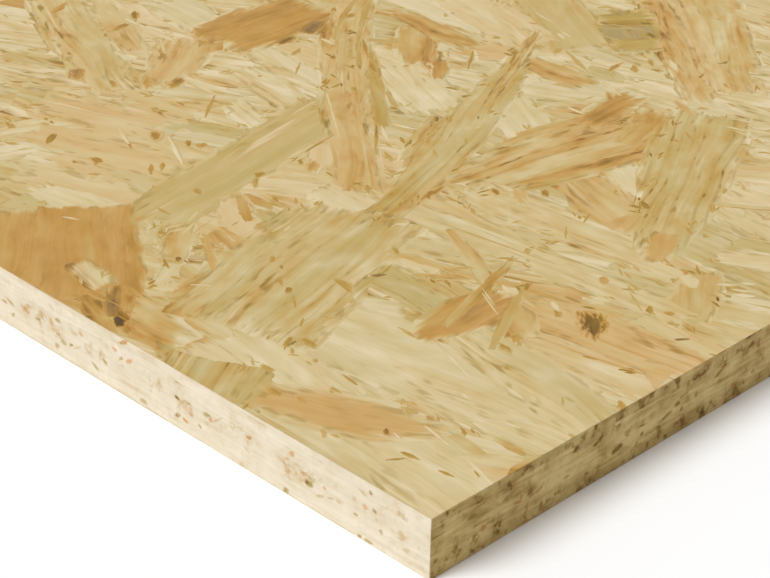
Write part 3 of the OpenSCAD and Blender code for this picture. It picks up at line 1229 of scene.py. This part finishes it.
def tinted(s, colour, hue, warm, cool):
    """A colour drawn towards a warm or a cool one by the hue, up or down from nought."""
    colour = s.blend(s.times(s.math("MAXIMUM", hue, 0.0), TINT), colour, warm)
    return s.blend(s.times(s.math("MINIMUM", hue, 0.0), -TINT), colour, cool)


def frayed(s, place, rim, tears, swing, blurs):
    """How far a strand covers what lies beside it: nought at its outline, one past its torn rim."""
    torn = s.total(rim, s.swing(s.grain(place, *tears), swing))
    noise, fade = BLURRED
    blur = s.span(s.grain(place, *noise), *fade, *blurs)
    covered = s.span(torn, s.math("SUBTRACT", 0.5, blur), s.total(0.5, blur))
    return s.times(covered, s.span(rim, 0.0, RIM_FOOT))


def wood_colour(s, place, tone, hue, stripe, fine, streak):
    """Wood of a tone and a hue that swing along the grain, and more so in a striped strand."""
    swings = s.total(
        s.swing(fine, FINE_SWING),
        s.swing(streak, STREAK_SWING),
        s.swing(s.grain(place, *CLOUDS), CLOUD_SWING),
        s.swing(s.grain(place, *MOTTLES), MOTTLE_SWING),
    )
    shade = s.total(tone, s.times(swings, s.span(stripe, *LIVELY)))
    shifted = s.total(hue, s.swing(s.grain(place, *TINGES), TINGE_SWING))
    colour = tinted(s, s.ramp(shade, WOOD_STOPS), shifted, PINK, OLIVE)
    grey = s.make("ShaderNodeRGBToBW", {0: colour}).outputs[0]
    return s.blend(s.math("SUBTRACT", GREY_HUE, hue), colour, grey)


def with_rings(s, colour, place, stripe):
    """Growth rings that come and go along the grain, specks on them, and patches of dashes."""
    rings = s.math("SINE", s.total(s.times(place[1], RING_RATE), place[2]))
    lines = s.times(s.span(rings, *RING_PART), s.spots(place, *RING_PATCHES), stripe)
    colour = s.blend(s.times(lines, RING_STRENGTH), colour, LATEWOOD)
    specks = s.times(lines, s.spots(place, *RING_SPECKS))
    dashes = s.times(s.spots(place, *DASH_PATCHES), s.spots(place, *DASHES), s.span(stripe, *DASHED))
    return s.blend(s.most(specks, dashes), colour, FLECK_AND_SHADOW, "MULTIPLY")


def with_fibre_highlights(s, colour, place, tone):
    """Patches of pale raised fibres, partly paler wood and partly a painted highlight, weaker on dark wood.
    """
    fibre_highlights = s.times(s.spots(place, *FIBRE_HIGHLIGHT_PATCHES), s.spots(place, *FIBRE_HIGHLIGHT_LINES), FIBRE_HIGHLIGHT_STRENGTH)
    return s.blend(s.times(fibre_highlights, s.span(tone, *FIBRE_HIGHLIGHT_FADE)), colour, FIBRE_HIGHLIGHT)


def with_rim_shadows(s, colour, place, inside):
    """Painted shadow in spots along a torn rim."""
    border = s.times(inside, s.math("SUBTRACT", 1.0, inside))
    rim_shadows = s.times(border, s.spots(place, *RIM_SHADOW_SPOTS), RIM_SHADOW_STRENGTH)
    return s.blend(rim_shadows, colour, FLECK_AND_SHADOW, "MULTIPLY")


def face_material(name, soft):
    """Pressed strands with torn rims, or small bits with softer ones, in wood with rings and fibres."""
    s = Shader(bpy.data.materials.new(name))
    u, v, seed = s.split("place")
    own_tone, own_hue, stripe = s.split("look")
    beside_tone, beside_hue, rim = s.split("beside")
    cover = frayed(s, (u, v, seed), rim, *(SOFT_RIM if soft else TORN_RIM))
    inside = s.times(cover, SOFT_COVER if soft else 1.0)
    tone = s.mixed(inside, beside_tone, own_tone)
    hue = s.mixed(inside, beside_hue, own_hue)
    place = (u, s.total(v, s.swing(s.grain((u, v, seed), *BENDS), BEND_SWING)), seed)
    fine = s.grain(place, *FINE_LINES)
    streak = s.grain(place, *STREAKS)
    colour = wood_colour(s, place, tone, hue, stripe, fine, streak)
    colour = with_rings(s, colour, place, stripe)
    # Pale raised fibres, partly a painted highlight
    colour = with_fibre_highlights(s, colour, place, tone)
    # Painted shadow in spots along the torn rims of strands
    if not soft:
        colour = with_rim_shadows(s, colour, place, inside)
    height = s.total(s.times(fine, FINE_BUMP), s.times(streak, STREAK_BUMP))
    return s.finish(colour, s.span(fine, *FACE_ROUGHNESS), height, FACE_BUMP)


# Noise of sawn edges: spots to the metre along each axis
EDGE_STREAKS = (70.0, 70.0, 700.0)
EDGE_PORES = (260.0, 260.0, 260.0)
EDGE_MOTTLE = (120.0, 120.0, 160.0)

# Where pores show as pits, how much side grain hides them, and how far end grain is still streaked
PIT_FADE = (0.5, 0.74)
PITS_HIDDEN = 0.6
END_STREAKED = 0.4

# How far the mottle swings the tone, by contrast, and the hue, and the sawn surface with its bump in metres
MOTTLE_TONE = 1.7
MOTTLE_HUE = 4.0
EDGE_ROUGHNESS = 0.8
EDGE_BUMP = 0.00003


def edge_material(name, stops, warm, cool, contrast):
    """Sawn layers: side grain streaked along the edge, end grain mottled up and down."""
    s = Shader(bpy.data.materials.new(name))
    own_tone, own_hue, side_grain = s.split("look")
    beside_tone, beside_hue, rim = s.split("beside")
    inside = s.span(rim, 0.0, 1.0)
    tone = s.mixed(inside, beside_tone, own_tone)
    hue = s.mixed(inside, beside_hue, own_hue)
    position = s.make("ShaderNodeTexCoord", {}).outputs["Object"]
    streak = s.stretched(position, EDGE_STREAKS)
    pores = s.stretched(position, EDGE_PORES)
    mottle = s.stretched(position, EDGE_MOTTLE)
    end_grain = s.math("SUBTRACT", 1.0, s.times(side_grain, PITS_HIDDEN))
    side = s.times(s.swing(streak, contrast), s.total(side_grain, END_STREAKED))
    pits = s.times(s.span(pores, *PIT_FADE), end_grain)
    shade = s.total(tone, side, s.times(pits, contrast), s.swing(mottle, MOTTLE_TONE * contrast))
    tinge = s.total(hue, s.times(pits, s.swing(mottle, MOTTLE_HUE)))
    colour = tinted(s, s.ramp(shade, stops), tinge, warm, cool)
    return s.finish(colour, EDGE_ROUGHNESS, s.total(streak, pores), EDGE_BUMP)


# Colours of the long and of the short sawn edges: from pale to dark, and the tints of their bits
# The cream is partly side grain and partly a painted highlight, pale and grey as on the edge that faces the
# sun
CREAM_STOPS = (
    (0.0, paint(220, 209, 188)),
    (0.25, paint(209, 196, 170)),
    (0.5, paint(194, 172, 134)),
    (0.75, paint(150, 122, 74)),
    (1.0, paint(90, 68, 36)),
)
CREAM_WARM = paint(204, 138, 82)
CREAM_COOL = paint(160, 148, 88)
# The brown is partly end grain and partly painted shade, dark and warm as on the edge turned from the sun
BROWN_STOPS = (
    (0.0, paint(222, 196, 134)),
    (0.25, paint(202, 174, 112)),
    (0.5, paint(174, 143, 82)),
    (0.75, paint(138, 108, 50)),
    (1.0, paint(92, 70, 28)),
)
BROWN_WARM = paint(190, 130, 74)
BROWN_COOL = paint(140, 118, 56)

# Core: spots to the metre along each axis, how much paler than its noise it is, and its surface
CORE_GRAIN = (60.0, 500.0, 500.0)
CORE_PALER = 0.15
CORE_ROUGHNESS = 0.85
CORE_BUMP = 0.0001


def core_material(name, stops):
    """What shows down the slits between the strands or slivers of one side."""
    s = Shader(bpy.data.materials.new(name))
    grain = s.stretched(s.make("ShaderNodeTexCoord", {}).outputs["Object"], CORE_GRAIN)
    colour = s.ramp(s.math("SUBTRACT", grain, CORE_PALER), stops)
    return s.finish(colour, CORE_ROUGHNESS, grain, CORE_BUMP)


def board_faces(low, high):
    """The six sides of the board, in millimetres, from its box."""
    low = np.array(low) / MM
    high = np.array(high) / MM
    middle = (low + high) / 2
    length, width, thick = (high - low) / 2
    x, y, z = np.eye(3)
    layer = thick - EDGE_MARGIN
    return {
        "top": Face("top", middle + thick * z, x, y, z, length, width, (length, -width)),
        "bottom": Face("bottom", middle - thick * z, x, -y, -z, length, width, None),
        "front": Face("front", middle - width * y, x, z, -y, length, layer, (length, layer)),
        "back": Face("back", middle + width * y, -x, z, y, length, layer, None),
        "right": Face("right", middle + length * x, y, z, x, width, layer, (-width, layer)),
        "left": Face("left", middle - length * x, -y, z, -x, width, layer, None),
    }


# Seeds of the random strands and bits of each side
SEEDS = {"top": 11, "bottom": 12, "front": 13, "back": 14, "right": 15, "left": 16}

# Small bits: places tried over a whole face and round the photographed corner, how near to the border of
# a strand those round the corner lie, in millimetres, and how many there are to a millimetre of an edge
FACE_CHIPS = 1000
CORNER_CHIPS = 1900
# Bits round the corner lie by the rims of strands: their dashes are partly painted shadow, their fibres
# partly a painted highlight
BORDER_REACH = 1.8
EDGE_BITS = 0.3


def face_chips(rng, face, pressing):
    """The small bits on a broad face, the listed ones last."""
    bits = []
    for _ in range(FACE_CHIPS):
        along = rng.uniform(-face.half_along, face.half_along)
        across = rng.uniform(-face.half_across, face.half_across)
        bits += random_chips(rng, pressing, (along, across))
    if face.corner is None:
        return bits
    for _ in range(CORNER_CHIPS):
        away = rng.uniform(0, FINE_REACH, 2)
        spot = (face.corner[0] - away[0], face.corner[1] + away[1])
        if pressing.near_border(spot, BORDER_REACH):
            bits += random_chips(rng, pressing, spot)
    return bits + [seen_chip(rng, face, *row) for row in reversed(SEEN_CHIPS)]


def broad_face(face, strand_wood, chip_wood):
    """One broad face: its pressed strands, and the small bits on them."""
    rng = np.random.default_rng(SEEDS[face.name])
    pressing = Pressing(face, FACE_CELL)
    if face.corner is not None:
        for row in SEEN_STRANDS:
            pressing.lay(seen_strand(rng, face, *row))
    pressing.cover(rng, face_strand)
    pressing.settle(FACE_RELIEF)
    strands = MeshParts(pressing)
    strands.add_pressed()
    splinters = MeshParts(pressing)
    splinters.add_chips(face_chips(rng, face, pressing))
    return [
        strands.build(f"{face.name}_strands", strand_wood, face_chart),
        splinters.build(f"{face.name}_splinters", chip_wood, face_chart),
    ]


def sawn_edge(face, material, side_in_faces, face_tone):
    """One sawn edge of layered slivers, with pores and bits."""
    rng = np.random.default_rng(SEEDS[face.name])
    pressing = Pressing(face, EDGE_CELL)
    pressing.cover(rng, edge_sample(side_in_faces, face_tone))
    pressing.settle(EDGE_RELIEF)
    parts = MeshParts(pressing)
    parts.add_backing()
    parts.add_pressed()
    bits = int(2 * face.half_along * EDGE_BITS)
    parts.add_chips(edge_bit(rng, face, not side_in_faces) for _ in range(bits))
    return parts.build(f"{face.name}_edge", material, edge_chart)


def board_core(low, high, materials):
    """The pressed middle of the board, just inside its strands: faces, long edges, then short edges."""
    low = np.array(low) + CORE_INSET * MM
    high = np.array(high) - CORE_INSET * MM
    corners = [(x, y, z) for z in (low[2], high[2]) for y in (low[1], high[1]) for x in (low[0], high[0])]
    sides = [(0, 2, 3, 1), (4, 5, 7, 6), (0, 1, 5, 4), (2, 6, 7, 3), (0, 4, 6, 2), (1, 3, 7, 5)]
    mesh = bpy.data.meshes.new("panel_core")
    mesh.from_pydata(corners, [], sides)
    for material in materials:
        mesh.materials.append(material)
    mesh.polygons.foreach_set("material_index", [0, 0, 1, 1, 2, 2])
    return linked("panel_core", mesh)


# Camera, fitted to the photographed corner: place from the corner's foot in metres, angles in degrees
IMAGE_WIDTH = 770
FOCAL_PIXELS = 2312.9
SENSOR_WIDTH = 36.0
CAMERA_FROM_CORNER = (0.3055, -0.3272, 0.3352)
CAMERA_PITCH = 29.66
CAMERA_AZIMUTH = 44.57
CAMERA_ROLL = 1.04


def add_camera(corner):
    """The camera that took the photograph, placed from the board's near lower corner."""
    data = bpy.data.cameras.new("camera")
    data.sensor_width = SENSOR_WIDTH
    data.lens = FOCAL_PIXELS * SENSOR_WIDTH / IMAGE_WIDTH
    camera = linked("camera", data)
    place = Matrix.Translation(Vector(corner) + Vector(CAMERA_FROM_CORNER))
    turn = Matrix.Rotation(math.radians(CAMERA_AZIMUTH), 4, "Z")
    tilt = Matrix.Rotation(math.radians(90 - CAMERA_PITCH), 4, "X")
    roll = Matrix.Rotation(math.radians(CAMERA_ROLL), 4, "Z")
    camera.matrix_world = place @ turn @ tilt @ roll
    bpy.context.scene.camera = camera


# Sun: direction towards it, strength, and spread in degrees. Sky: strength of the light it gives
SUN_TOWARDS = (-0.25, -0.72, 0.65)
SUN_STRENGTH = 2.8
SUN_SPREAD = 30.0
SKY_STRENGTH = 0.42
WHITE = (1, 1, 1, 1)


def add_sun():
    """A soft sun from the left front."""
    data = bpy.data.lights.new("sun", "SUN")
    data.energy = SUN_STRENGTH
    data.angle = math.radians(SUN_SPREAD)
    sun = linked("sun", data)
    sun.rotation_euler = Vector(SUN_TOWARDS).to_track_quat("Z", "Y").to_euler()


def add_sky():
    """An even sky that looks white."""
    world = bpy.data.worlds.new("sky")
    bpy.context.scene.world = world
    s = Shader(world)
    rays = s.make("ShaderNodeLightPath", {}).outputs
    seen = s.most(rays["Is Camera Ray"], rays["Is Transmission Ray"], rays["Is Glossy Ray"])
    level = s.make("ShaderNodeMapRange", {0: seen, 3: SKY_STRENGTH, 4: 1.0}).outputs[0]
    sky = s.make("ShaderNodeBackground", {0: WHITE, 1: level})
    s.make("ShaderNodeOutputWorld", {0: sky.outputs[0]})


# Floor: half its side in metres, and the grey of the light it gives back
FLOOR_REACH = 40.0
FLOOR_GREY = (0.8, 0.8, 0.8, 1)


def add_floor():
    """A plain white floor under the board."""
    s = Shader(bpy.data.materials.new("floor"))
    rays = s.make("ShaderNodeLightPath", {})
    colour = s.blend(rays.outputs["Is Camera Ray"], FLOOR_GREY, WHITE)
    surface = s.make("ShaderNodeBsdfDiffuse", {0: colour})
    s.make("ShaderNodeOutputMaterial", {0: surface.outputs[0]})
    mesh = bpy.data.meshes.new("floor")
    mesh.from_pydata([(FLOOR_REACH * x, FLOOR_REACH * y, 0) for x, y in SQUARE], [], [(0, 1, 2, 3)])
    mesh.materials.append(s.owner)
    floor = linked("floor", mesh)


# Tone of the outer layers of the sawn edges, and contrast of their wood
LONG_EDGE_TONE = 0.15
# The short edges' darker tone and stronger contrast are partly painted shade
SHORT_EDGE_TONE = 0.32
LONG_EDGE_CONTRAST = 0.36
SHORT_EDGE_CONTRAST = 0.65

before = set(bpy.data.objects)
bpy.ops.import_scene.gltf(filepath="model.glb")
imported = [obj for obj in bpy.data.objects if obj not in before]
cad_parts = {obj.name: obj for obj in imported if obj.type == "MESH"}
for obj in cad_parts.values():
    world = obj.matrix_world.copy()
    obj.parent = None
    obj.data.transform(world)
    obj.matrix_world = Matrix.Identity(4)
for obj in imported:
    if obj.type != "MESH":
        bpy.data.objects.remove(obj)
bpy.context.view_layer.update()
low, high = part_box(NODE)
bpy.context.scene.view_settings.view_transform = "Standard"
add_camera((high[0], low[1], low[2]))
add_sun()
add_sky()
add_floor()
faces = board_faces(low, high)
wood = (face_material("pressed_strands", False), face_material("splinters", True))
long_edge = edge_material("sawn_long_edge", CREAM_STOPS, CREAM_WARM, CREAM_COOL, LONG_EDGE_CONTRAST)
short_edge = edge_material("sawn_short_edge", BROWN_STOPS, BROWN_WARM, BROWN_COOL, SHORT_EDGE_CONTRAST)
slits = (("pressed_core", WOOD_STOPS), ("long_edge_core", CREAM_STOPS), ("short_edge_core", BROWN_STOPS))
core = board_core(low, high, [core_material(*slit) for slit in slits])
pieces = [core]
for name in ("top", "bottom"):
    pieces += broad_face(faces[name], *wood)
for name in ("front", "back"):
    pieces.append(sawn_edge(faces[name], long_edge, True, LONG_EDGE_TONE))
for name in ("right", "left"):
    pieces.append(sawn_edge(faces[name], short_edge, False, SHORT_EDGE_TONE))
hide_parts(NODE)
for piece in pieces:
    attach(piece, BODY)
